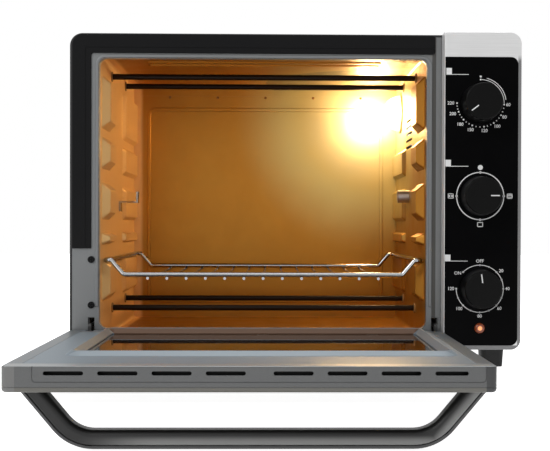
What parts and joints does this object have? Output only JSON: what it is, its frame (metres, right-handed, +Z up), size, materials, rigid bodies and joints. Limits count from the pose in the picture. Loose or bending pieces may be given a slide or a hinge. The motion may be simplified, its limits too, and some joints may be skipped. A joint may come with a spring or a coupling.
{
  "type": "countertop rotisserie oven",
  "caption": "Countertop electric oven with a drop-down glass door, wire rack, heating rods, rotisserie drive, interior lamp and a side panel of dial knobs.",
  "frame": {"origin": "on the plane of the feet, under the middle of the oven's body", "axes": "+Z up, the door opens towards -Y, +X to the right seen from the front, where the control panel is"},
  "size_m": [0.462, 0.667, 0.3735],
  "materials": {
    "casing_paint": "satin black, fine texture",
    "galvanised": "dull zinc-coated sheet",
    "frame_paint": "satin blue-grey metallic",
    "trim_black": "semi-gloss black",
    "cavity_steel": "satin aluminised sheet",
    "rivet_steel": "satin",
    "heater_steel": "annealed satin",
    "ceramic": "glazed ceramic",
    "rack_chrome": "bright",
    "lamp_glass": "clear heat-proof glass",
    "bulb_glass": "lit, frosted",
    "drive_steel": "satin",
    "panel_silver": "silver lacquer",
    "fascia_black": "high gloss black, white print",
    "knob_black": "satin black, white pointer",
    "switch_body": "moulded",
    "timer_body": "moulded",
    "bell_steel": "satin",
    "pilot_orange": "lit orange lens",
    "brass": "satin",
    "door_paint": "satin dark grey",
    "door_lining": "satin blue-grey metallic",
    "door_glass": "clear tempered",
    "handle_black": "satin black",
    "handle_grey": "satin dark metallic",
    "rubber_black": "matte"
  },
  "bodies": {
    "oven_body": {"casing_wrap": "casing_paint", "back_cover": "galvanised", "cover_screws": "galvanised", "base_plate": "galvanised", "feet": "rubber_black", "foot_screws": "galvanised", "front_frame": "frame_paint", "front_trim_band": "trim_black", "cavity_liner": "cavity_steel", "cavity_back": "cavity_steel", "liner_rivets": "rivet_steel", "heater_bushes": "ceramic", "heater_terminals": "brass", "heater_upper_front": "heater_steel", "heater_upper_rear": "heater_steel", "heater_lower_front": "heater_steel", "heater_lower_rear": "heater_steel", "lamp_ring": "rivet_steel", "lamp_cover": "lamp_glass", "lamp_bulb": "bulb_glass", "lamp_socket": "ceramic", "spit_support": "rack_chrome", "rotisserie_motor": "switch_body", "motor_screws": "galvanised", "panel_bezel": "panel_silver", "panel_fascia": "fascia_black", "control_plate": "galvanised", "thermostat": "galvanised", "function_switch": "switch_body", "timer": "timer_body", "timer_bell": "bell_steel", "pilot_lens": "pilot_orange", "pilot_lamp": "switch_body", "terminal_block": "switch_body", "cord_gland": "rubber_black", "hinge_screws": "trim_black", "hinge_pins": "drive_steel", "hinge_bracket_left": "drive_steel", "hinge_bracket_right": "drive_steel", "hinge_springs": "drive_steel"},
    "door": {"door_frame": "door_paint", "door_inner_panel": "door_lining", "inner_glass": "door_glass", "outer_glass": "door_glass", "glass_retainer": "galvanised", "glass_clips": "drive_steel", "door_handle": "handle_black", "handle_facing": "handle_grey", "handle_screws": "galvanised", "hinge_arm_left": "drive_steel", "hinge_arm_right": "drive_steel"},
    "rack": {"rack_frame": "rack_chrome", "rack_grid": "rack_chrome"},
    "spit_drive": {"drive_socket": "drive_steel"},
    "temperature_dial": {"temperature_knob": "knob_black", "temperature_shaft": "drive_steel"},
    "function_dial": {"function_knob": "knob_black", "function_shaft": "drive_steel"},
    "timer_dial": {"timer_knob": "knob_black", "timer_shaft": "drive_steel"}
  },
  "joints": [
    {"name": "door_hinge", "type": "hinge", "parent": "oven_body", "child": "door", "pos_m": [0, -0.179, 0.0322], "axis": [1, 0, 0], "range_deg": [-90, 0], "deforming": ["hinge_springs"]},
    {"name": "rack_slide", "type": "slide", "parent": "oven_body", "child": "rack", "axis": [0, -1, 0], "range_m": [0, 0.2]},
    {"name": "spit_drive_turn", "type": "hinge", "parent": "oven_body", "child": "spit_drive", "pos_m": [0.13, -0.005, 0.1805], "axis": [1, 0, 0], "continuous": true},
    {"name": "temperature_turn", "type": "hinge", "parent": "oven_body", "child": "temperature_dial", "pos_m": [0.1892, -0.2135, 0.2713], "axis": [0, 1, 0], "range_deg": [-233, 35]},
    {"name": "function_turn", "type": "hinge", "parent": "oven_body", "child": "function_dial", "pos_m": [0.1892, -0.2135, 0.1768], "axis": [0, 1, 0], "continuous": true},
    {"name": "timer_turn", "type": "hinge", "parent": "oven_body", "child": "timer_dial", "pos_m": [0.1892, -0.2135, 0.0823], "axis": [0, 1, 0], "range_deg": [-37, 278]}
  ]
}
